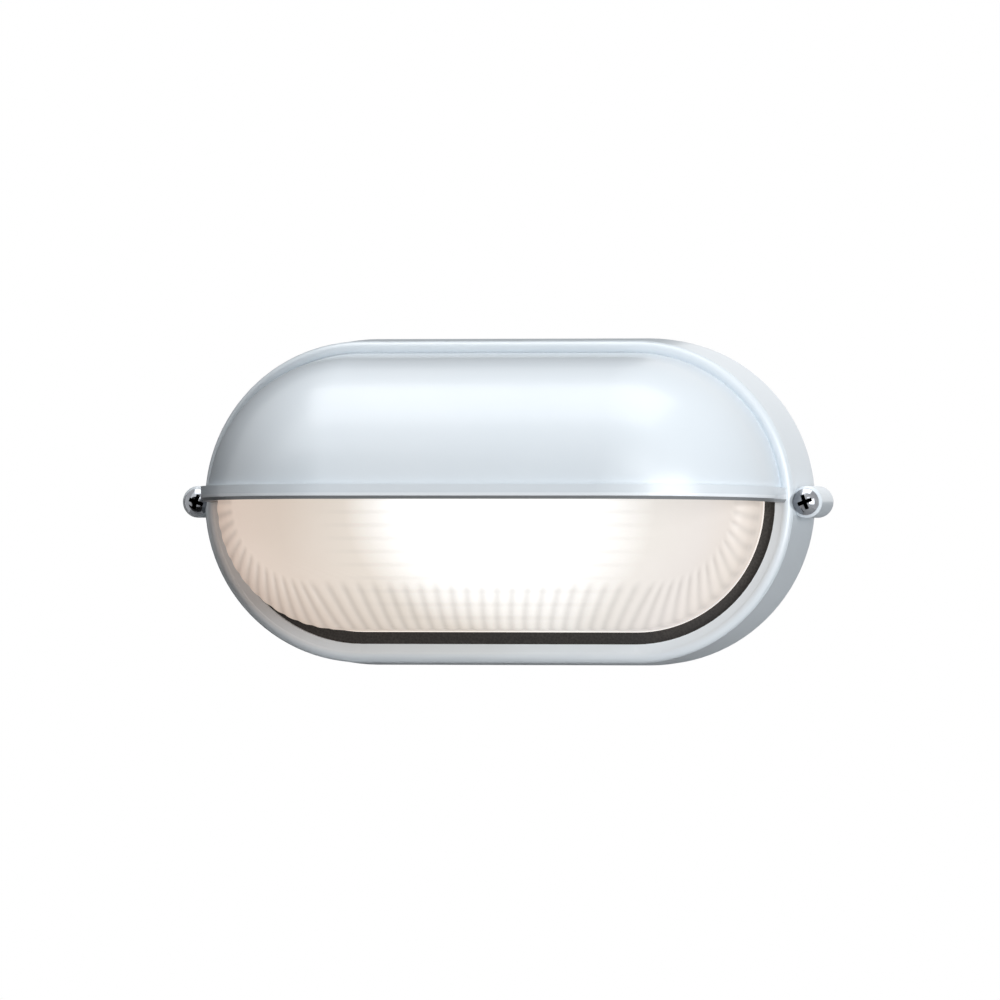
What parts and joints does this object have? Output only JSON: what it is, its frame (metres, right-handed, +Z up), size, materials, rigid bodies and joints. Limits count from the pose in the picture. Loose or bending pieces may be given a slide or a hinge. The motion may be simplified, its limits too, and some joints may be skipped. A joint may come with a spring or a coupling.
{
  "type": "bulkhead light",
  "caption": "Oval wall light: a cast frame with an eyelid hood clamps a ribbed frosted glass bowl over a shallow back housing that holds the lamp.",
  "frame": {"origin": "centre of the flat back of the housing, on the wall", "axes": "+X along the light, +Y into the wall, +Z up; the light faces -Y"},
  "size_m": [0.2138, 0.0956, 0.1072],
  "materials": {
    "white_paint": "gloss white paint on die-cast metal",
    "frosted_glass": "frosted, ribbed pressed glass",
    "dark_foam": "dark closed-cell rubber",
    "bright_screw": "bright plated steel",
    "plated_sheet": "zinc-plated sheet",
    "porcelain": "glazed porcelain",
    "brass": "plain brass",
    "lamp_white": "opal lamp glass on a metal cap",
    "nylon": "natural nylon",
    "brown_sleeve": "brown wire sleeve",
    "blue_sleeve": "blue wire sleeve"
  },
  "bodies": {
    "root": {"back_housing": "white_paint", "front_frame": "white_paint", "glass_diffuser": "frosted_glass", "glass_gasket": "dark_foam", "frame_screws": "bright_screw", "lampholder_bracket": "plated_sheet", "bracket_screws": "plated_sheet", "holder_screws": "plated_sheet", "lampholder_body": "porcelain", "lampholder_shell": "brass", "centre_contact": "brass", "lamp": "lamp_white", "terminal_block": "nylon", "terminal_screws": "brass", "block_screw": "plated_sheet", "lead_live": "brown_sleeve", "lead_neutral": "blue_sleeve", "earth_screw": "brass", "earth_washer": "brass", "cable_grommet": "dark_foam"}
  },
  "joints": []
}
